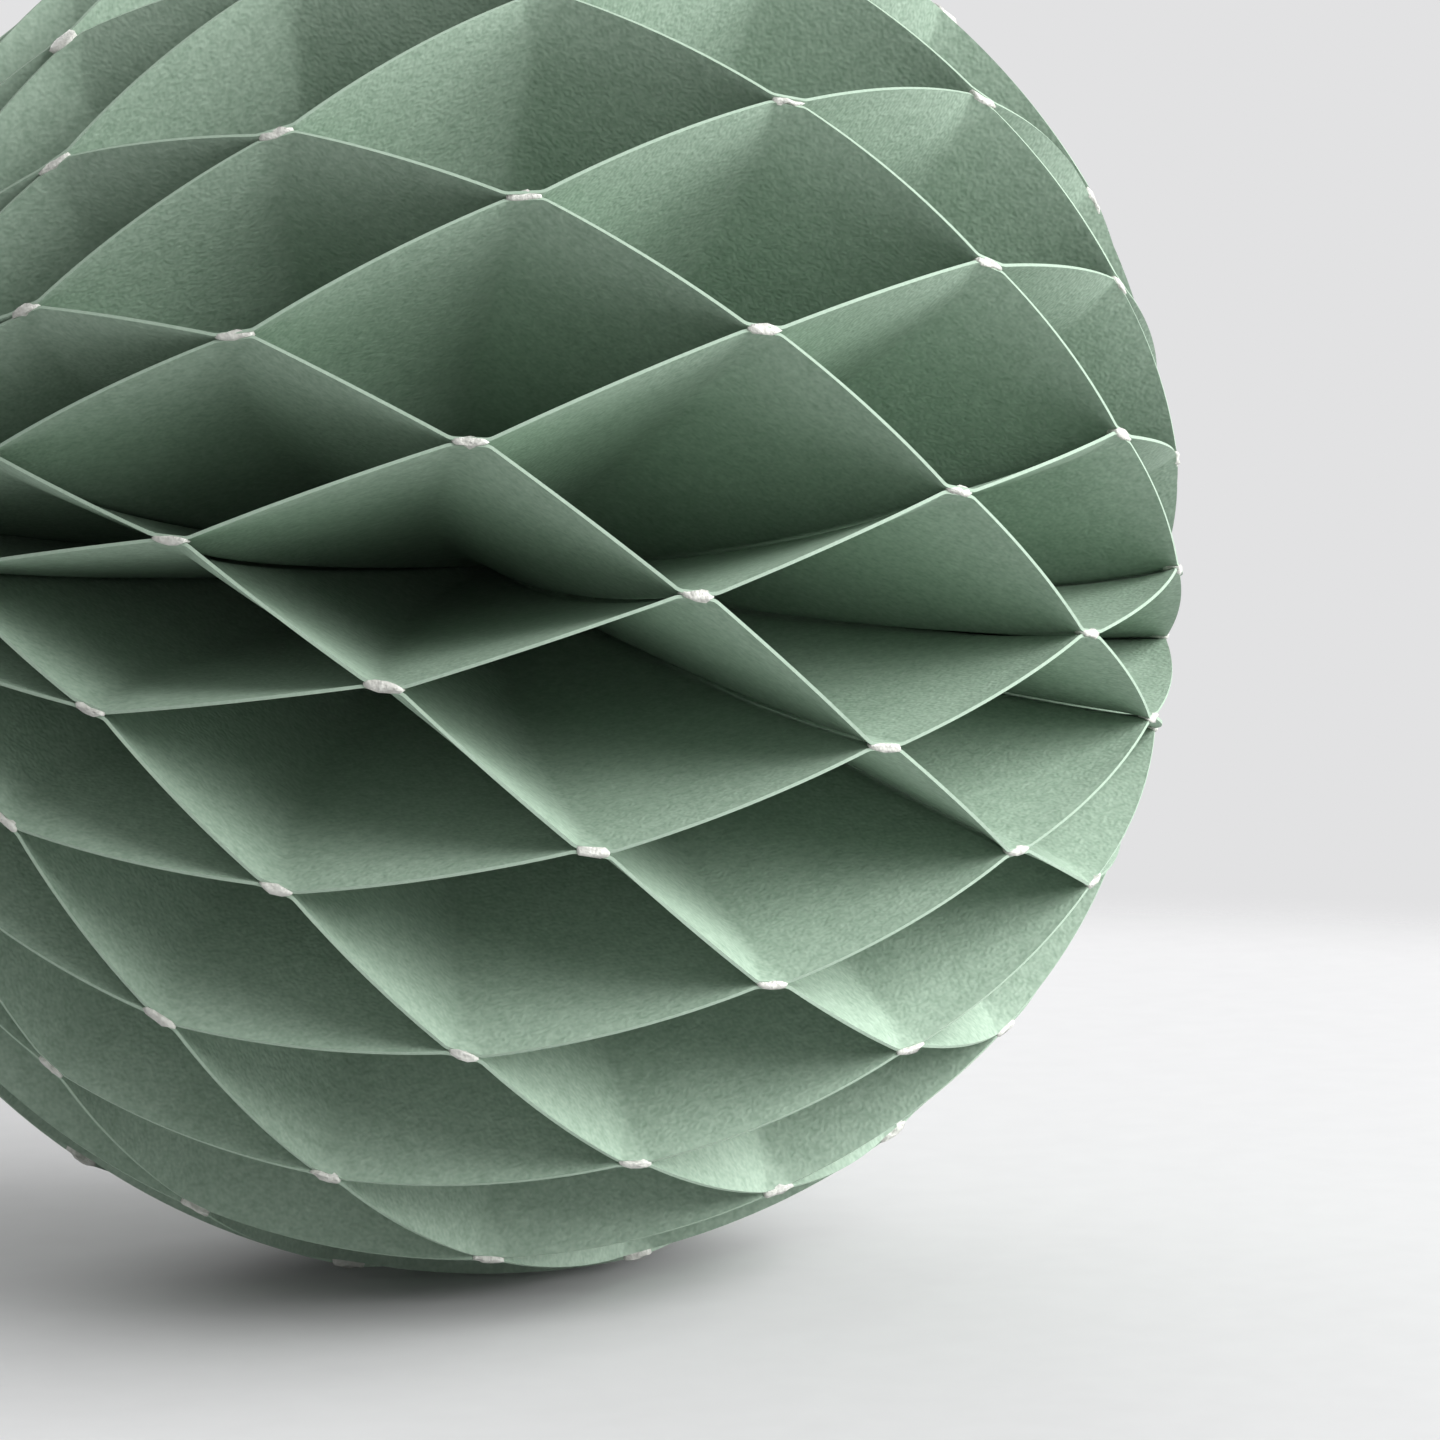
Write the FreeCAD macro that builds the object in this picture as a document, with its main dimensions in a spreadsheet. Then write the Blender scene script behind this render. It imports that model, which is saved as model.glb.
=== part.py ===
import FreeCAD, Part
import math
import os

# A honeycomb ball of stiff card, about 100 mm across, lying on a table.
# A pile of equal card circles is bound along one diameter by wire staples. Each circle is
# folded at the binding into two half-round leaves, and the leaves fan out all the way round.
# Each leaf is joined to the next one by small spots of glue at the rim, and the spots on its
# two sides alternate, so that the rim zigzags and the leaves open into a honeycomb.
#
# Ball frame: X runs along the binding, Z up through the pile and Y to the side. "Seams" are
# the places where two neighbouring leaves meet. They are numbered round the ball: 0 at the
# top of the pile, then down the +Y side, sheet_count at the bottom and up the -Y side.

doc = FreeCAD.newDocument("honeycomb_ball")

SIZES = [
    ("disc_radius", 50.0, "radius that every card circle is cut to"),
    ("card_thickness", 0.22, "thickness of the card"),
    ("chord_angle", 5.0, "most degrees of the round rim that one straight cut spans"),
    ("sheet_count", 18, "card circles in the pile"),
    ("sheet_gap", 0.03, "play between two circles in the bound pile"),
    ("spots_per_circle", 9, "glue spots round one side of a circle"),
    ("drift_count", 2, "spot spacings that the pattern turns by, from the top circle to past the last"),
    ("glue_length", 2.5, "length of a glue spot along the rim"),
    ("glue_depth", 2.0, "how far a glue spot reaches in from the rim"),
    ("glue_film", 0.15, "thickness of glue between two leaves"),
    ("glue_setback", 0.15, "distance from the rim to the outer end of a glue spot"),
    ("fold_margin", 0.4, "card between a slit and the fold of the top circle"),
    ("wire_width", 0.6, "width of the staple wire, across the binding"),
    ("wire_height", 0.4, "height of the flat staple wire"),
    ("staple_count", 2, "staples, evenly along the binding"),
    ("staple_span", 12.0, "outside length of a staple's crown"),
    ("staple_hook", 4.0, "length of each bent end under the pile"),
    ("staple_play", 0.05, "room round the wire in the card's slits"),
    ("binding_tilt", 7.5, "degrees that the +X end of the binding lies lower"),
    ("pile_tilt", 19.66, "degrees that the pile leans over from upright, towards -Y"),
]

sheet = doc.addObject("Spreadsheet::Sheet", "Sizes")
for row, (alias, value, note) in enumerate(SIZES, start=1):
    sheet.set("A%d" % row, note)
    sheet.set("B%d" % row, str(value))
    sheet.setAlias("B%d" % row, alias)
doc.recompute()


def size(alias):
    return float(sheet.get(alias))


disc_radius = size("disc_radius")
card_thickness = size("card_thickness")
sheet_count = int(size("sheet_count"))
spots_per_circle = int(size("spots_per_circle"))

# Angles of the fan, in degrees.
leaf_step = 180.0 / sheet_count
spot_step = 180.0 / spots_per_circle
spot_drift = spot_step * size("drift_count") / sheet_count
last_latitude = 90.0 - spot_step / 2
half_land = math.degrees(size("glue_length") / 2 / disc_radius)

layer = card_thickness + size("sheet_gap")
half_card = card_thickness / 2
half_slit = size("wire_width") / 2 + size("staple_play")
rounding = 1e-6
RIGHT, LEFT = 1, -1
ABOVE, BELOW = 1, -1


def outward(angle, side):
    """Unit vector straight out from the binding, at a height angle on one side."""
    turn = math.radians(angle)
    return FreeCAD.Vector(0, side * math.cos(turn), math.sin(turn))


def upward(angle, side):
    """Unit vector square to a leaf that stands at this angle, on its upper face."""
    turn = math.radians(angle)
    return FreeCAD.Vector(0, -side * math.sin(turn), math.cos(turn))


def along(latitude, angle, side):
    """Unit vector from the middle of a leaf's fold to its rim at a latitude."""
    turn = math.radians(latitude)
    return FreeCAD.Vector(math.sin(turn), 0, 0) + outward(angle, side) * math.cos(turn)


# --- the pile: where each circle lies and where it is folded ---------------------------------

def leaf_angle(number):
    """Height angle of the two leaves of one circle, from nearly upright to nearly hanging."""
    return 90.0 - leaf_step * (number + 0.5)


def fold_offsets():
    """Distance from the middle of each circle to its fold: a circle wraps round those inside it."""
    offsets = [half_slit + size("fold_margin")]
    for number in range(1, sheet_count):
        seam_angle = math.radians(90.0 - leaf_step * number)
        offsets.append(offsets[-1] + layer * math.tan(seam_angle / 2))
    return offsets


FOLDS = fold_offsets()


def layer_height(number):
    return ((sheet_count - 1) / 2.0 - number) * layer


def fold_middle(number, side):
    return FreeCAD.Vector(0, side * FOLDS[number], layer_height(number))


def reach(number, latitude):
    """From the middle of the fold to the rim: the circle's own middle is behind the fold."""
    turn = math.radians(latitude)
    across = FOLDS[number] * math.sin(turn)
    return math.sqrt(disc_radius ** 2 - across ** 2) - FOLDS[number] * math.cos(turn)


# --- the glue pattern ------------------------------------------------------------------------

def seam_number(number, side, face):
    """The seam on the upper or lower face of one leaf."""
    below_top = number if face == ABOVE else number + 1
    return below_top if side == RIGHT else 2 * sheet_count - below_top


def seam_latitudes(seam):
    """Latitudes of the glue spots in one seam. The pattern turns a little from seam to seam."""
    period = 2 * spot_step
    first = (90.0 - spot_step + seam * (spot_step + spot_drift)) % period
    latitudes = []
    latitude = first - period * math.ceil((first + last_latitude) / period)
    while latitude <= last_latitude + rounding:
        if latitude >= -last_latitude - rounding:
            latitudes.append(latitude)
        latitude += period
    return latitudes


def lean(number, latitude):
    """How far a leaf bends towards its neighbour at a glue spot, in degrees."""
    arm = 2 * reach(number, latitude) * math.cos(math.radians(latitude))
    apart = card_thickness + size("glue_film") - layer
    return leaf_step / 2 - math.degrees(math.asin(apart / arm))


# --- one leaf: flat facets that meet at the middle of the fold ---------------------------------

def leaf_rays(number, side):
    """The creases of one leaf as (latitude, height angle), with a flat land at every spot."""
    spots = []
    for face in (ABOVE, BELOW):
        for latitude in seam_latitudes(seam_number(number, side, face)):
            spots.append((latitude, leaf_angle(number) + face * lean(number, latitude)))
    spots.sort()
    rays = [(-90.0, spots[0][1])]
    for latitude, angle in spots:
        rays.append((latitude - half_land, angle))
        rays.append((latitude + half_land, angle))
    rays.append((90.0, spots[-1][1]))
    return rays


def mitre(normal_a, normal_b):
    """Offset of a crease, so that both facets beside it keep half the card's thickness."""
    return (normal_a + normal_b) * (half_card / (1 + normal_a.dot(normal_b)))


def meet_plane(start, direction, corners):
    """Where a line meets the plane through three corners."""
    normal = (corners[1] - corners[0]).cross(corners[2] - corners[0])
    return start + direction * ((corners[0] - start).dot(normal) / direction.dot(normal))


class Leaf:
    """Corner points of one leaf on its upper (ABOVE) and lower (BELOW) face."""

    def __init__(self, number, side):
        self.number = number
        self.middle = fold_middle(number, side)
        flat = FreeCAD.Vector(0, 0, 1)
        mean = upward(leaf_angle(number), side)
        rays = leaf_rays(number, side)
        rim = [self.middle + along(lat, angle, side) * reach(number, lat) for lat, angle in rays]
        self.latitudes = [lat for lat, angle in rays]
        self.normals = [self.facet_normal(a, b, mean) for a, b in zip(rim, rim[1:])]
        self.cuts = [self.round_cuts(index, a, b) for index, (a, b) in enumerate(zip(rim, rim[1:]))]
        sides = [flat] + self.normals + [flat]
        offsets = [mitre(a, b) for a, b in zip(sides, sides[1:])]
        self.apex = {}
        self.rim = {}
        for face in (ABOVE, BELOW):
            self.apex[face] = self.middle + mitre(flat, mean) * face
            self.rim[face] = [point + offset * face for point, offset in zip(rim, offsets)]

    def facet_normal(self, point_a, point_b, mean):
        normal = (point_a - self.middle).cross(point_b - self.middle)
        normal.normalize()
        return normal if normal.dot(mean) > 0 else normal * -1

    def round_cuts(self, index, start, end):
        """Points half-way through the card where the straight cuts of a facet's rim meet."""
        first, last = self.latitudes[index:index + 2]
        arm_a = start - self.middle
        arm_b = end - self.middle
        spread = arm_a.getAngle(arm_b)
        arm_a.normalize()
        arm_b.normalize()
        cuts = math.ceil((last - first) / size("chord_angle"))
        points = []
        for step in range(1, cuts):
            share = step / cuts
            arm = arm_a * math.sin((1 - share) * spread) + arm_b * math.sin(share * spread)
            arm.normalize()
            points.append(self.middle + arm * reach(self.number, first + (last - first) * share))
        return points

    def rim_points(self, face, index):
        """Points along one facet's rim, in the plane of one of its faces."""
        ends = self.rim[face][index:index + 2]
        plane = [self.apex[face]] + ends
        cuts = [meet_plane(point, self.normals[index], plane) for point in self.cuts[index]]
        return ends[:1] + cuts + ends[1:]

    def faces(self):
        """Both faces and the cut edge of every facet."""
        made = []
        for index in range(len(self.latitudes) - 1):
            upper = self.rim_points(ABOVE, index)
            lower = self.rim_points(BELOW, index)
            for face, points in ((ABOVE, upper), (BELOW, lower)):
                corners = [self.apex[face]] + points
                made.append(Part.Face(Part.makePolygon(corners + corners[:1])))
            for at in range(len(upper) - 1):
                upper_cut = Part.makeLine(upper[at], upper[at + 1])
                lower_cut = Part.makeLine(lower[at], lower[at + 1])
                made.append(Part.makeRuledSurface(upper_cut, lower_cut))
        return made

    def glue_face(self, face, latitude):
        """Three corners of the flat land that carries the glue spot at a latitude."""
        index = min(
            range(len(self.latitudes) - 1),
            key=lambda at: abs((self.latitudes[at] + self.latitudes[at + 1]) / 2 - latitude)
            + abs(self.latitudes[at + 1] - self.latitudes[at] - 2 * half_land),
        )
        return self.apex[face], self.rim[face][index], self.rim[face][index + 1]


LEAVES = {
    (number, side): Leaf(number, side) for number in range(sheet_count) for side in (RIGHT, LEFT)
}


# --- the whole ball is turned and lifted onto the table ----------------------------------------

def resting_placement():
    """Lean the pile over, tip the binding and stand the lowest rim on the table."""
    lean_over = FreeCAD.Rotation(FreeCAD.Vector(1, 0, 0), size("pile_tilt"))
    tip = FreeCAD.Rotation(FreeCAD.Vector(0, 1, 0), size("binding_tilt"))
    turn = tip.multiply(lean_over)
    solids = [disc_shape(number) for number in range(sheet_count)]
    box = Part.makeCompound(solids)
    box.Placement = FreeCAD.Placement(FreeCAD.Vector(), turn)
    bounds = box.optimalBoundingBox(False)
    to_table = FreeCAD.Vector(-bounds.Center.x, -bounds.Center.y, -bounds.ZMin)
    return FreeCAD.Placement(to_table, turn)


# --- card circles ------------------------------------------------------------------------------

def band_faces(number):
    """The narrow flat strip between the two folds of one circle, and its two ends."""
    right = LEAVES[number, RIGHT]
    left = LEAVES[number, LEFT]
    made = []
    for face in (ABOVE, BELOW):
        corners = [right.rim[face][0], right.apex[face], right.rim[face][-1]]
        corners += [left.rim[face][-1], left.apex[face], left.rim[face][0]]
        made.append(Part.Face(Part.makePolygon(corners + corners[:1])))
    for end in (0, -1):
        corners = [right.rim[ABOVE][end], right.rim[BELOW][end]]
        corners += [left.rim[BELOW][end], left.rim[ABOVE][end]]
        made.append(Part.Face(Part.makePolygon(corners + corners[:1])))
    return made


DISC_SHAPES = {}


def disc_shape(number):
    """One card circle, folded and bent, as one solid."""
    if number not in DISC_SHAPES:
        faces = band_faces(number)
        for side in (RIGHT, LEFT):
            faces += LEAVES[number, side].faces()
        shell = Part.Shell(faces)
        shell.sewShape()
        solid = Part.Solid(shell)
        if solid.Volume < 0:
            solid.reverse()
        DISC_SHAPES[number] = solid
    return DISC_SHAPES[number]


PLACEMENT = resting_placement()
PARTS = []


def finish(feature, label):
    feature.Label = label
    feature.Placement = PLACEMENT
    PARTS.append(feature)


# --- staples -----------------------------------------------------------------------------------

PILE_HEIGHT = "(Sizes.card_thickness * Sizes.sheet_count + Sizes.sheet_gap * (Sizes.sheet_count - 1))"
STAPLE_PITCH = "(2 * Sizes.disc_radius / (Sizes.staple_count + 1))"


def bound_box(name, length, width, height, middle_x, base_z):
    """A box whose sizes and place along the binding are bound to the sheet."""
    box = doc.addObject("Part::Box", name)
    box.setExpression("Length", length)
    box.setExpression("Width", width)
    box.setExpression("Height", height)
    box.setExpression("Placement.Base.x", "(%s) - (%s) / 2" % (middle_x, length))
    box.setExpression("Placement.Base.y", "-(%s) / 2" % width)
    box.setExpression("Placement.Base.z", base_z)
    return box


def staple_middle(index):
    return "(%d - (Sizes.staple_count - 1) / 2) * %s" % (index, STAPLE_PITCH)


def leg_middle(index, end):
    """Where one leg of a staple goes through the pile."""
    return "%s %s (Sizes.staple_span - Sizes.wire_height) / 2" % (staple_middle(index), "-+"[end])


def make_staple(index):
    """A crown on top of the pile, two legs through it and two ends bent in under it."""
    name = "Staple%d" % (index + 1)
    crown_base = "%s / 2 + Sizes.staple_play" % PILE_HEIGHT
    hook_base = "-%s / 2 - Sizes.staple_play - Sizes.wire_height" % PILE_HEIGHT
    pieces = [bound_box(
        name + "Crown", "Sizes.staple_span", "Sizes.wire_width", "Sizes.wire_height",
        staple_middle(index), crown_base)]
    for end in (0, 1):
        pieces.append(bound_box(
            name + "Leg%d" % end, "Sizes.wire_height", "Sizes.wire_width",
            "%s + 2 * Sizes.staple_play + 2 * Sizes.wire_height" % PILE_HEIGHT,
            leg_middle(index, end), hook_base))
        hook_middle = "%s %s (Sizes.staple_span - Sizes.staple_hook) / 2" % (staple_middle(index), "-+"[end])
        pieces.append(bound_box(
            name + "Hook%d" % end, "Sizes.staple_hook", "Sizes.wire_width", "Sizes.wire_height",
            hook_middle, hook_base))
    staple = doc.addObject("Part::MultiFuse", name)
    staple.Shapes = pieces
    staple.Refine = True
    return staple


staple_count = int(size("staple_count"))
staples = doc.addObject("Part::Compound", "Staples")
staples.Links = [make_staple(index) for index in range(staple_count)]


# --- slits in the card for the staples' legs ---------------------------------------------------

slits = doc.addObject("Part::Compound", "Slits")
slits.Links = [
    bound_box(
        "Slit%d%s" % (index + 1, "ab"[end]), "Sizes.wire_height + 2 * Sizes.staple_play",
        "Sizes.wire_width + 2 * Sizes.staple_play", "2 * %s" % PILE_HEIGHT,
        leg_middle(index, end), "-%s" % PILE_HEIGHT)
    for index in range(staple_count) for end in (0, 1)
]

for number in range(sheet_count):
    blank = doc.addObject("Part::Feature", "Blank%02d" % (number + 1))
    blank.Shape = disc_shape(number)
    disc = doc.addObject("Part::Cut", "Disc%02d" % (number + 1))
    disc.Base = blank
    disc.Tool = slits
    finish(disc, "disc_%02d" % (number + 1))
finish(staples, "staples")


# --- glue --------------------------------------------------------------------------------------

def seam_leaves(seam):
    """The leaf above and the leaf below a seam, as (circle, side)."""
    if seam == 0:
        return (0, RIGHT), (0, LEFT)
    if seam == sheet_count:
        return (sheet_count - 1, RIGHT), (sheet_count - 1, LEFT)
    side = RIGHT if seam < sheet_count else LEFT
    below = seam if side == RIGHT else 2 * sheet_count - seam
    return (below - 1, side), (below, side)


def glue_spot(seam, latitude):
    """One spot of glue: a small block that fills the space between two lands."""
    first, second = (LEAVES[key] for key in seam_leaves(seam))
    side = RIGHT if seam <= sheet_count else LEFT
    angle = 90.0 - leaf_step * (seam if side == RIGHT else 2 * sheet_count - seam)
    first_face = BELOW
    second_face = ABOVE
    if seam == 0:
        first_face = ABOVE
    if seam == sheet_count:
        second_face = BELOW
    middle = (first.middle + second.middle) / 2
    ray = along(latitude, angle, side)
    across = along(latitude + 90.0, angle, side)
    square = upward(angle, side)
    circle = seam_leaves(seam)[0][0]
    outer = reach(circle, latitude) - size("glue_setback")
    corners = []
    for radius in (outer - size("glue_depth"), outer):
        for half in (-size("glue_length") / 2, size("glue_length") / 2):
            corners.append(middle + ray * radius + across * half)
    upper = [meet_plane(corner, square, first.glue_face(first_face, latitude)) for corner in corners]
    lower = [meet_plane(corner, square, second.glue_face(second_face, latitude)) for corner in corners]
    loops = [upper[0:2] + upper[3:1:-1], lower[0:2] + lower[3:1:-1]]
    for a, b in ((0, 1), (1, 3), (3, 2), (2, 0)):
        loops.append([upper[a], upper[b], lower[b], lower[a]])
    shell = Part.Shell([Part.Face(Part.makePolygon(loop + loop[:1])) for loop in loops])
    shell.sewShape()
    solid = Part.Solid(shell)
    if solid.Volume < 0:
        solid.reverse()
    return solid


def glue_label(seam):
    """Seams at one height on both sides join the same two circles, so they share a name."""
    if seam == 0:
        return "glue_top"
    if seam == sheet_count:
        return "glue_bottom"
    number = seam if seam < sheet_count else 2 * sheet_count - seam
    return "glue_%02d" % number


glue = {}
for seam in range(2 * sheet_count):
    spots = [glue_spot(seam, latitude) for latitude in seam_latitudes(seam)]
    glue.setdefault(glue_label(seam), []).extend(spots)

for label in sorted(glue):
    feature = doc.addObject("Part::Feature", label.title().replace("_", ""))
    feature.Shape = Part.makeCompound(glue[label])
    finish(feature, label)

doc.recompute()


# --- check and write ---------------------------------------------------------------------------

for item in doc.Objects:
    if "Invalid" in item.State or "Error" in item.State:
        raise RuntimeError("failed object: " + item.Label)

os.makedirs("parts", exist_ok=True)
for feature in PARTS:
    shape = feature.Shape
    if shape.isNull() or not shape.isValid():
        raise RuntimeError("bad shape: " + feature.Label)
    shape.exportStep("parts/" + feature.Label + ".step")

total = sum(feature.Shape.Volume for feature in PARTS)
print("nodes", len(PARTS), "solids", sum(len(feature.Shape.Solids) for feature in PARTS))
print("volume mm3", round(total, 1))
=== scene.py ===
import math
import random

import bmesh
import bpy
from mathutils import Matrix, Vector, noise


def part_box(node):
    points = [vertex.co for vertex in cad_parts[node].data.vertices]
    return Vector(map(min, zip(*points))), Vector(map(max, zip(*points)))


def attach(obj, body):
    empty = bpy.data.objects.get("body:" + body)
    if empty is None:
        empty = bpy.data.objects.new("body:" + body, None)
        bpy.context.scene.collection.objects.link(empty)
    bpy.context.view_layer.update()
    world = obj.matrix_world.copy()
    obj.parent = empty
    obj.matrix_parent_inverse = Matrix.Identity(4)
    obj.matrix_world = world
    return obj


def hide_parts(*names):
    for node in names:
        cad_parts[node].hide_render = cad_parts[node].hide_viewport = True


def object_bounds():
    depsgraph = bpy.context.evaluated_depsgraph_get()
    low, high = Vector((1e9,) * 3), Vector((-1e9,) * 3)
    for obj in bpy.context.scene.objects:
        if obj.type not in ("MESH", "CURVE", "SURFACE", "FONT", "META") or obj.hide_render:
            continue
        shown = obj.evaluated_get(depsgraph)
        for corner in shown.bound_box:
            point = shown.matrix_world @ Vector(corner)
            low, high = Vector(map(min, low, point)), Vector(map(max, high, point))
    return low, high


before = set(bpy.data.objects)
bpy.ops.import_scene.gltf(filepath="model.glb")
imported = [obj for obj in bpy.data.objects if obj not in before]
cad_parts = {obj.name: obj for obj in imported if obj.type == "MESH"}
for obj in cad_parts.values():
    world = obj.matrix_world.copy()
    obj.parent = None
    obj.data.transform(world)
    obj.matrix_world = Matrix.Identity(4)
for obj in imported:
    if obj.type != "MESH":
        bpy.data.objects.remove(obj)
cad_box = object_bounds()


# --- card circles ------------------------------------------------------------------------------
# Equal circles of stiff, felt-like green card, stapled together along one diameter. Each is
# folded at the binding into two half-round leaves, and every leaf is bent to and fro between the
# glue spots on its two faces, softly near the binding and more sharply towards the rim.

RADIUS = 0.050
CARD = 0.00022
PILE_GAP = 0.00003  # air between two circles in the pile
LAYER = CARD + PILE_GAP
GLUE_FILM = 0.00015  # glue between two leaves
FIRST_FOLD = 0.00075  # from the middle of the first and last circle to their folds
BINDING_TILT = math.radians(7.5)
PILE_LEAN = math.radians(19.66)
SPOTS_PER_CIRCLE = 9
SPOT_LENGTH = 0.0025
PATTERN_DRIFT = 2  # spot steps that the pattern turns on over the whole pile

DISC_NODES = sorted(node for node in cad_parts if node.startswith("disc_"))
SHEETS = len(DISC_NODES)
QUARTER_TURN = math.pi / 2
FAN_STEP = math.pi / SHEETS
SPOT_STEP = math.pi / SPOTS_PER_CIRCLE
SPOT_DRIFT = SPOT_STEP * PATTERN_DRIFT / SHEETS
LAST_SPOT = QUARTER_TURN - SPOT_STEP / 2
HALF_LAND = SPOT_LENGTH / 2 / RADIUS
TINY = 1e-6

STRIPS = 180
STRIP = math.pi / STRIPS
RINGS = [0, 0.06, 0.12, 0.2, 0.28, 0.36, 0.44, 0.52, 0.6, 0.68, 0.75, 0.82, 0.88, 0.93, 0.97, 1]
SHARP_BEND = math.radians(0.25)  # half of what a crease is rounded over at the rim
SOFT_BEND = math.radians(3)  # the same close to the fold
LAND_DEPTH = 0.08  # share of the radius over which the land at a spot narrows
LAND_INSIDE = 0.24  # how wide it is from there on, as a share of its width at the rim
CREASE_BOW = 0.5
LEAF_SAG = 0.11

CLOUD_GRAIN = 0.006
FELT_GRAIN = 0.0007
FIBRE_GRAIN = 0.00028
FIBRE_RELIEF = 0.00004
EDGE_GRAIN = 0.0003
FACE_SLOT, EDGE_SLOT = 0, 1

staple_low, staple_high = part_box("staples")
BALL_MIDDLE = (staple_low + staple_high) / 2
BALL_TURN = Matrix.Rotation(BINDING_TILT, 3, "Y") @ Matrix.Rotation(PILE_LEAN, 3, "X")

RIGHT, LEFT = 1, -1
ABOVE, BELOW = 1, -1


def along(latitude, angle, side):
    """Unit vector from the middle of a fold to the rim, at a latitude and a height angle."""
    level = math.cos(latitude)
    return Vector((math.sin(latitude), side * level * math.cos(angle), level * math.sin(angle)))


def leaf_angle(sheet):
    return QUARTER_TURN - FAN_STEP * (sheet + 0.5)


def fold_offset(sheet):
    """From the middle of a circle to its fold, which goes round the circles inside it."""
    seams = [QUARTER_TURN - FAN_STEP * number for number in range(1, sheet + 1)]
    return FIRST_FOLD + sum(LAYER * math.tan(seam / 2) for seam in seams)


def fold_middle(sheet, side):
    return Vector((0, side * fold_offset(sheet), ((SHEETS - 1) / 2 - sheet) * LAYER))


def reach(sheet, latitude):
    """From the middle of the fold to the rim of a circle whose own middle is behind the fold."""
    across = fold_offset(sheet) * math.sin(latitude)
    return math.sqrt(RADIUS ** 2 - across ** 2) - fold_offset(sheet) * math.cos(latitude)


def seam_spots(seam):
    """Latitudes of the glue spots in one seam; the pattern turns a little from seam to seam."""
    period = 2 * SPOT_STEP
    first = (QUARTER_TURN - SPOT_STEP + seam * (SPOT_STEP + SPOT_DRIFT)) % period
    spots = [first + period * turn for turn in range(-SPOTS_PER_CIRCLE, SPOTS_PER_CIRCLE)]
    return [spot for spot in spots if abs(spot) <= LAST_SPOT + TINY]


def leaf_seam(sheet, side, face):
    """Seams are numbered round the ball from the top, down the right side and up the left."""
    below_top = sheet if face == ABOVE else sheet + 1
    return below_top if side == RIGHT else 2 * SHEETS - below_top


def leaf_creases(sheet, side, share):
    """The bends of one leaf as (latitude, direction), with a flat land at every glue spot.

    The land is widest at the rim and narrows to a single sharp bend just inside it.
    """
    land = HALF_LAND * max(LAND_INSIDE, 1 - (1 - share) / LAND_DEPTH)
    spots = []
    for face in (ABOVE, BELOW):
        for latitude in seam_spots(leaf_seam(sheet, side, face)):
            arm = 2 * reach(sheet, latitude) * math.cos(latitude)
            lean = FAN_STEP / 2 - math.asin((CARD + GLUE_FILM - LAYER) / arm)
            spots.append((latitude, leaf_angle(sheet) + face * lean))
    spots.sort()
    rays = [(-QUARTER_TURN, spots[0][1])]
    for latitude, angle in spots:
        rays.append((latitude - land, angle))
        rays.append((latitude + land, angle))
    rays.append((QUARTER_TURN, spots[-1][1]))
    return [(latitude, along(latitude, angle, side)) for latitude, angle in rays]


def strip_edges(rim_creases, creases):
    """Pairs of an even strip edge and the place it moves to, on or close beside each crease."""
    pairs = [(-QUARTER_TURN, -QUARTER_TURN)]
    for (rim_place, _), (place, _) in list(zip(rim_creases, creases))[1:-1]:
        nearest = round((rim_place + QUARTER_TURN) / STRIP) * STRIP - QUARTER_TURN
        pairs += [(nearest + step * STRIP, place + step * SHARP_BEND) for step in (-1, 0, 1)]
    return pairs + [(QUARTER_TURN, QUARTER_TURN)]


def moved_edge(pairs, latitude):
    for (start, first), (end, second) in zip(pairs, pairs[1:]):
        if latitude <= end + TINY:
            return first + (second - first) * (latitude - start) / (end - start)
    return latitude


def flat_direction(creases, latitude):
    """Where the card would point at a latitude if it were flat from crease to crease."""
    for (start, first), (end, second) in zip(creases, creases[1:]):
        if latitude <= end + TINY:
            share = math.sin(latitude - start) / math.sin(end - start) if end - start > TINY else 0
            rest = math.sin(end - latitude) / math.sin(end - start) if end - start > TINY else 1
            return (first * rest + second * share).normalized()
    return creases[-1][1]


def soft_direction(creases, latitude, spread):
    """The same with each crease rounded over a spread, which closes up at the fold itself."""
    spread = min(spread, QUARTER_TURN - abs(latitude))
    parts = [flat_direction(creases, latitude + spread * share) for share in (-1, -0.5, 0, 0.5, 1)]
    return sum(parts, Vector()).normalized()


def bend_leaf(verts, sheet, side):
    """Fold one flat leaf up or down and bend it to the glue spots.

    Inside the rim its creases bow along the binding, and the whole leaf sags a little.
    """
    creases = {ring: leaf_creases(sheet, side, ring) for ring in RINGS}
    edges = {ring: strip_edges(creases[1], creases[ring]) for ring in RINGS}
    middle = fold_middle(sheet, side)
    for vert in verts:
        share = vert.co.length / RADIUS
        ring = min(RINGS, key=lambda place: abs(place - share))
        latitude = moved_edge(edges[ring], math.atan2(vert.co.x, abs(vert.co.y)))
        spread = SHARP_BEND + (SOFT_BEND - SHARP_BEND) * (1 - share)
        direction = soft_direction(creases[ring], latitude, spread)
        bow = CREASE_BOW * RADIUS * share * (1 - share) * math.sin(latitude)
        sag = LEAF_SAG * RADIUS * share * (1 - share)
        vert.co = middle + direction * share * reach(sheet, latitude) + Vector((bow, 0, -sag))


def cut_leaf(card, side):
    """A flat half circle, swept out by a line of points from the middle of the fold to the rim."""
    others = set(card.verts)
    line = [card.verts.new((-RADIUS * ring, 0, 0)) for ring in RINGS]
    edges = [card.edges.new(pair) for pair in zip(line, line[1:])]
    bmesh.ops.spin(card, geom=line + edges, axis=(0, 0, -side), angle=math.pi, steps=STRIPS)
    bmesh.ops.remove_doubles(card, verts=list(set(card.verts) - others), dist=TINY)
    return [vert for vert in card.verts if vert not in others]


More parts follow.
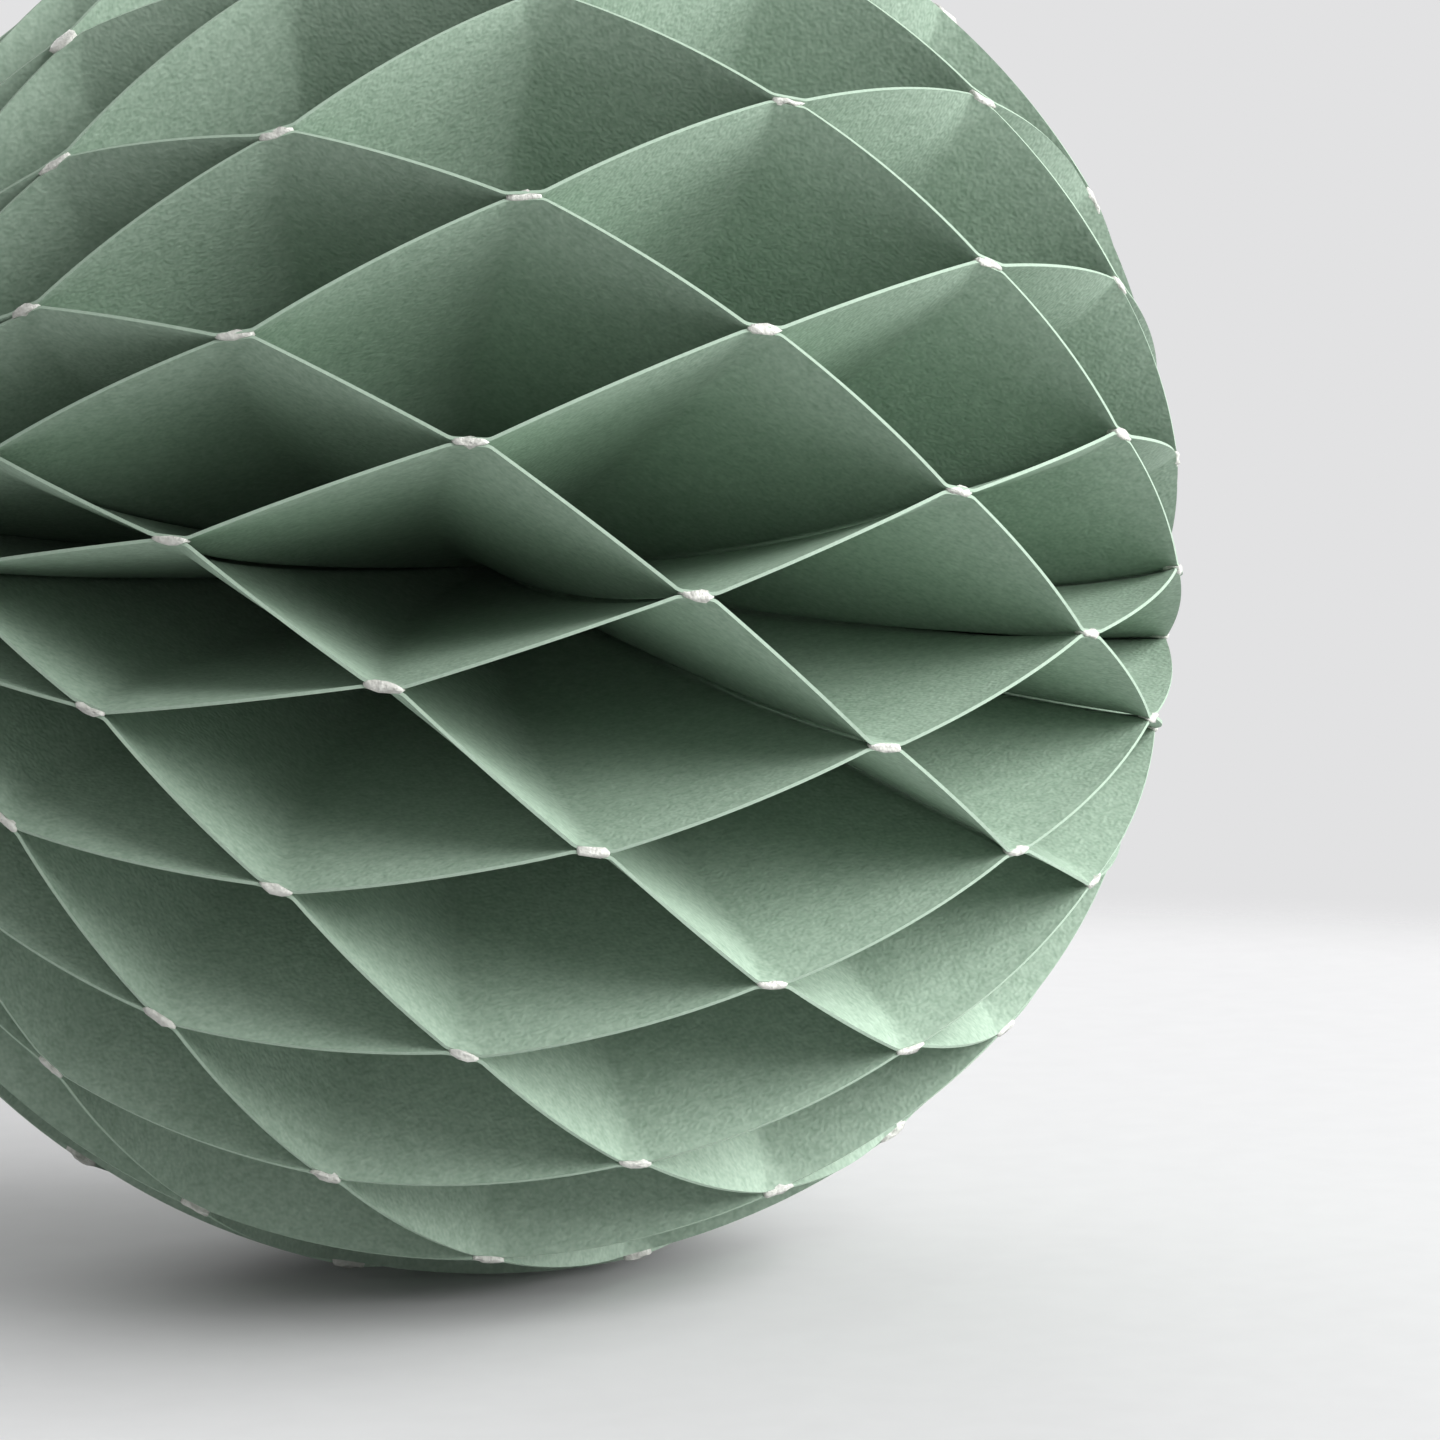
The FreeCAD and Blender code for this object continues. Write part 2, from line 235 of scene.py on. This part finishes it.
def fold_edges(verts):
    return {edge for vert in verts for edge in vert.link_edges
            if all(abs(end.co.y) < TINY for end in edge.verts)}


def thicken(card):
    """Give the sheet its thickness, half on each side, and mark its cut edge sharp."""
    bmesh.ops.recalc_face_normals(card, faces=card.faces)
    for vert in card.verts:
        vert.co += vert.normal * CARD / 2
    face_side = set(card.verts)
    bmesh.ops.solidify(card, geom=list(card.faces), thickness=CARD)
    for face in card.faces:
        face.smooth = True
        crosses = face_side.intersection(face.verts) and not face_side.issuperset(face.verts)
        face.material_index = EDGE_SLOT if crosses else FACE_SLOT
    for edge in card.edges:
        if len({face.material_index for face in edge.link_faces}) == 2:
            edge.smooth = False


def finished_piece(name, shape, *materials):
    """A mesh object at the origin, from a bmesh in the ball's own frame."""
    bmesh.ops.rotate(shape, matrix=BALL_TURN, verts=shape.verts)
    bmesh.ops.translate(shape, vec=BALL_MIDDLE, verts=shape.verts)
    for vert in shape.verts:
        vert.co = [min(max(place, low), high) for place, low, high in zip(vert.co, *cad_box)]
    mesh = bpy.data.meshes.new(name)
    shape.to_mesh(mesh)
    shape.free()
    for material in materials:
        mesh.materials.append(material)
    piece = bpy.data.objects.new(name, mesh)
    bpy.context.scene.collection.objects.link(piece)
    return piece


class Strand:
    """A value, colour or shader on its way between nodes. Sums on it add their Math nodes."""

    def __init__(self, nodes, socket):
        self.nodes = nodes
        self.socket = socket

    def maths(self, operation, first, second):
        return self.nodes.node("ShaderNodeMath", {"operation": operation}, {0: first, 1: second})

    def __add__(self, other):
        return self.maths("ADD", self, other)

    def __radd__(self, other):
        return self.maths("ADD", other, self)

    def __sub__(self, other):
        return self.maths("SUBTRACT", self, other)

    def __rsub__(self, other):
        return self.maths("SUBTRACT", other, self)

    def __mul__(self, other):
        return self.maths("MULTIPLY", self, other)

    def __rmul__(self, other):
        return self.maths("MULTIPLY", other, self)


class NodeWork:
    """The nodes of a material or of the light around the scene, added one by one."""

    def __init__(self, tree):
        self.tree = tree

    def node(self, kind, settings, inputs, output=0):
        """Add a node: its settings first, then the value or link of each named socket."""
        made = self.tree.nodes.new(kind)
        for name, value in settings.items():
            setattr(made, name, value)
        for name, value in inputs.items():
            self.feed(made.inputs[name], value)
        return Strand(self, made.outputs[output])

    def feed(self, socket, value):
        if isinstance(value, Strand):
            self.tree.links.new(value.socket, socket)
        else:
            socket.default_value = value


class Finish(NodeWork):
    """A material built node by node round one Principled shader."""

    def __init__(self, name):
        self.material = bpy.data.materials.new(name)
        self.material.use_nodes = True
        super().__init__(self.material.node_tree)
        self.shader = self.tree.nodes["Principled BSDF"]

    def surface(self, **inputs):
        """Set the shader's own sockets; an underscore in a name stands for a space."""
        for name, value in inputs.items():
            self.feed(self.shader.inputs[name.replace("_", " ")], value)
        return self.material

    def place(self):
        return self.node("ShaderNodeTexCoord", {}, {}, "Object")

    def cloud(self, grain, detail=2.0, roughness=0.5):
        """Soft noise from 0 to 1 whose lumps are about one grain across, in metres."""
        inputs = {"Vector": self.place(), "Scale": 1 / grain, "Detail": detail, "Roughness": roughness}
        return self.node("ShaderNodeTexNoise", {}, inputs)

    def blend(self, share, first, second):
        """A colour between two others."""
        inputs = {0: share, 6: first, 7: second}
        return self.node("ShaderNodeMix", {"data_type": "RGBA"}, inputs, 2)

    def bump(self, height, depth):
        inputs = {"Height": height, "Distance": depth, "Strength": 1.0}
        return self.node("ShaderNodeBump", {}, inputs)


def shade(red, green, blue):
    """A colour as it looks on a screen, 0 to 255, turned into light."""
    linear = [((value / 255 + 0.055) / 1.055) ** 2.4 for value in (red, green, blue)]
    return (*linear, 1.0)


def card_finish():
    """Felted green card: soft cloudy mottling, fine fibres and a dry surface."""
    finish = Finish("green_card")
    clouds = finish.cloud(CLOUD_GRAIN, detail=0.0)
    felt = finish.cloud(FELT_GRAIN, detail=1.0, roughness=0.7)
    fibre = finish.cloud(FIBRE_GRAIN, detail=0.0)
    mottling = clouds * 0.3 + felt * 1.2 + fibre * 0.7 - 0.6
    colour = finish.blend(mottling, shade(133, 156, 137), shade(165, 186, 168))
    relief = finish.bump(fibre, FIBRE_RELIEF)
    return finish.surface(Base_Color=colour, Roughness=0.72, Specular_IOR_Level=0.75, Normal=relief)


def edge_finish():
    """The cut edge, where the pale core of the card shows."""
    finish = Finish("cut_edge")
    fibre = finish.cloud(EDGE_GRAIN, detail=3.0)
    colour = finish.blend(fibre, shade(141, 162, 144), shade(167, 186, 170))
    return finish.surface(Base_Color=colour, Roughness=0.85, Specular_IOR_Level=0.3)


GREEN_CARD = card_finish()
CUT_EDGE = edge_finish()

for sheet, node in enumerate(DISC_NODES):
    card = bmesh.new()
    leaves = {side: cut_leaf(card, side) for side in (RIGHT, LEFT)}
    folds = [edge for side in leaves for edge in fold_edges(leaves[side])]
    for side, verts in leaves.items():
        bend_leaf(verts, sheet, side)
    bmesh.ops.bridge_loops(card, edges=folds)
    thicken(card)
    circle = finished_piece("card_circle_%02d" % (sheet + 1), card, GREEN_CARD, CUT_EDGE)
    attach(circle, "root")
    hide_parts(node)


# --- glue spots --------------------------------------------------------------------------------
# Small dabs of white craft glue that join neighbouring leaves at the rim. Each was squeezed out
# between the two cards, so it laps over both cut edges as an uneven bead and has dried slightly
# glossy.

SPOT_HEIGHT = 0.00064
SPOT_PROUD = 0.00022
SPOT_TONGUE = 0.0011
SPOT_LIP = 0.00012
SPOT_UNEVEN = 0.0003
SPOT_LUMPS = Vector((5.0, 2.2, 2.2))
SPOT_GRAIN = 0.00045
SPOT_RELIEF = 0.0002
LONGER, TALLER = (0.85, 1.1), (0.9, 1.12)
LUMP_CHOICE = (-9, 9)


def seam_place(seam):
    """Side, height angle and upper circle of a seam."""
    side = RIGHT if seam <= SHEETS else LEFT
    below_top = seam if side == RIGHT else 2 * SHEETS - seam
    return side, QUARTER_TURN - FAN_STEP * below_top, below_top


def glue_bead(glue, seam, latitude, dice):
    """One uneven bead along the rim, with a thin tongue pressed in between the two cards.

    Where the ball closes, the bead also bridges the gap that the first fold leaves there.
    """
    side, angle, below_top = seam_place(seam)
    sheet = min(below_top, SHEETS - 1)
    outward = along(latitude, angle, side)
    lengthwise = along(latitude + QUARTER_TURN, angle, side)
    upright = outward.cross(lengthwise)
    pair = (max(below_top - 1, 0), sheet)
    middle = sum((fold_middle(member, side) for member in pair), Vector()) / 2
    bridge = 0
    if below_top in (0, SHEETS):
        middle.y = 0
        bridge = fold_offset(sheet) - CARD / 2
    middle += outward * reach(sheet, latitude)
    bead = bmesh.ops.create_icosphere(glue, subdivisions=2, radius=1)["verts"]
    shift = Vector([dice.uniform(*LUMP_CHOICE) for axis in range(3)])
    length = SPOT_LENGTH / 2 * dice.uniform(*LONGER)
    height = SPOT_HEIGHT / 2 * dice.uniform(*TALLER) + bridge
    film = GLUE_FILM + bridge
    for vert in bead:
        lump = noise.noise(vert.co * SPOT_LUMPS + shift) * SPOT_UNEVEN
        local = Vector((vert.co.x * length, vert.co.y * SPOT_TONGUE, vert.co.z * height))
        if vert.co.y > 0:
            local.y = vert.co.y * SPOT_PROUD
        local += vert.co * lump
        if local.y < -SPOT_LIP:
            local.z = min(max(local.z, -film), film)
        vert.co = middle + lengthwise * local.x + outward * local.y + upright * local.z


def glue_finish():
    """Dried white glue with a faint warm tint, thin and uneven."""
    finish = Finish("dried_glue")
    lumps = finish.cloud(SPOT_GRAIN, detail=2.0)
    colour = finish.blend(lumps, shade(176, 175, 169), shade(222, 224, 217))
    relief = finish.bump(lumps, SPOT_RELIEF)
    return finish.surface(Base_Color=colour, Roughness=0.42, Specular_IOR_Level=0.5, Normal=relief)


DRIED_GLUE = glue_finish()


def glue_node(seam):
    if seam % SHEETS == 0:
        return "glue_top" if seam == 0 else "glue_bottom"
    return "glue_%02d" % min(seam, 2 * SHEETS - seam)


dice = random.Random(7)
seams_of = {}
for seam in range(2 * SHEETS):
    seams_of.setdefault(glue_node(seam), []).append(seam)

for node, seams in seams_of.items():
    glue = bmesh.new()
    for seam in seams:
        for latitude in seam_spots(seam):
            glue_bead(glue, seam, latitude, dice)
    bmesh.ops.recalc_face_normals(glue, faces=glue.faces)
    for face in glue.faces:
        face.smooth = True
    beads = finished_piece(node.replace("glue", "glue_beads"), glue, DRIED_GLUE)
    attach(beads, "root")
    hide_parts(node)


# --- staples -----------------------------------------------------------------------------------
# Two flat-wire staples through the whole pile, which bind the circles along one diameter. They
# are bright galvanised steel, and only a glimpse of them shows down in the top cells.

WIRE_GRAIN = 0.0004


def wire_finish():
    finish = Finish("bright_wire")
    drawn = finish.cloud(WIRE_GRAIN, detail=2.0)
    colour = finish.blend(drawn, shade(176, 178, 180), shade(214, 215, 216))
    return finish.surface(Base_Color=colour, Roughness=0.3 + drawn * 0.15, Metallic=1.0)


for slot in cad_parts["staples"].material_slots:
    slot.material = wire_finish()


# --- table, background and light ----------------------------------------------------------------
# A matt white table top whose far edge fades into a pale background, in soft daylight: tall
# windows in front and on the right, a weaker glow from behind, and a pale room all round.

TABLE_RADIUS = 0.222
TABLE_FADE = 0.168
TABLE_GRAIN = 0.004
PALE = shade(226, 226, 227)
WHITE = shade(255, 255, 255)
LAMP_DISTANCE = 1.6
ROOM_LIGHT = 0.4


def table_finish():
    finish = Finish("white_table")
    place = finish.place()
    distance = finish.node("ShaderNodeVectorMath", {"operation": "LENGTH"}, {0: place}, 1)
    grain = finish.cloud(TABLE_GRAIN, detail=3.0)
    colour = finish.blend(grain, shade(203, 203, 204), shade(209, 209, 210))
    ends = {"From Min": TABLE_FADE, "From Max": TABLE_RADIUS, "To Min": 1.0, "To Max": 0.0}
    soft = {"interpolation_type": "SMOOTHSTEP"}
    cover = finish.node("ShaderNodeMapRange", soft, {"Value": distance, **ends})
    return finish.surface(Base_Color=colour, Roughness=0.7, Specular_IOR_Level=0.3, Alpha=cover)


top = bmesh.new()
bmesh.ops.create_circle(top, cap_ends=True, segments=96, radius=TABLE_RADIUS)
table_mesh = bpy.data.meshes.new("table_top")
top.to_mesh(table_mesh)
top.free()
table_mesh.materials.append(table_finish())
table = bpy.data.objects.new("table_top", table_mesh)
bpy.context.scene.collection.objects.link(table)

world = bpy.data.worlds.new("pale_room")
world.use_nodes = True
room = NodeWork(world.node_tree)


def ray(kind):
    """1 for a ray of one kind, else 0."""
    return room.node("ShaderNodeLightPath", {}, {}, kind)


looking = ray("Is Camera Ray") + ray("Is Glossy Ray") + ray("Is Transmission Ray")
fill = room.node("ShaderNodeBackground", {}, {"Color": WHITE, "Strength": ROOM_LIGHT})
backdrop = room.node("ShaderNodeBackground", {}, {"Color": PALE, "Strength": 1.0})
glow = room.node("ShaderNodeMixShader", {}, {0: looking, 1: fill, 2: backdrop})
room.feed(room.tree.nodes["World Output"].inputs["Surface"], glow)
bpy.context.scene.world = world


def soft_lamp(name, direction, width, height, power):
    """A wide soft box that faces the middle of the ball."""
    lamp = bpy.data.lights.new(name, "AREA")
    lamp.shape = "RECTANGLE"
    lamp.size = width
    lamp.size_y = height
    lamp.energy = power
    holder = bpy.data.objects.new(name, lamp)
    away = Vector(direction).normalized()
    holder.location = BALL_MIDDLE + away * LAMP_DISTANCE
    holder.rotation_euler = away.to_track_quat("Z", "Y").to_euler()
    bpy.context.scene.collection.objects.link(holder)


soft_lamp("front_window", (0.353, -0.791, 0.5), width=1.0, height=1.0, power=24)
soft_lamp("side_window", (0.874, -0.334, 0.353), width=1.0, height=1.6, power=36)
soft_lamp("far_wall", (-0.04, 0.86, 0.5), width=1.8, height=1.0, power=9)


# --- camera ------------------------------------------------------------------------------------
# Close to the ball and nearly level with its middle, so that the ball fills the frame and runs
# out of it at the top and on the left.

CAMERA_PLACE = Vector((-2.644, -6.922, 0.458)) * RADIUS
CAMERA_TURN = math.radians(-23.6)
CAMERA_DOWN = math.radians(5.3)
CAMERA_ROLL = math.radians(0.7)
LENS = 129.2

eye = bpy.data.cameras.new("camera")
eye.lens = LENS
eye.sensor_width = 36
eye.clip_start = 0.01
camera = bpy.data.objects.new("camera", eye)
camera.location = BALL_MIDDLE + CAMERA_PLACE
camera.rotation_euler = (QUARTER_TURN - CAMERA_DOWN, CAMERA_ROLL, CAMERA_TURN)
bpy.context.scene.collection.objects.link(camera)
bpy.context.scene.camera = camera
bpy.context.scene.view_settings.view_transform = "Standard"
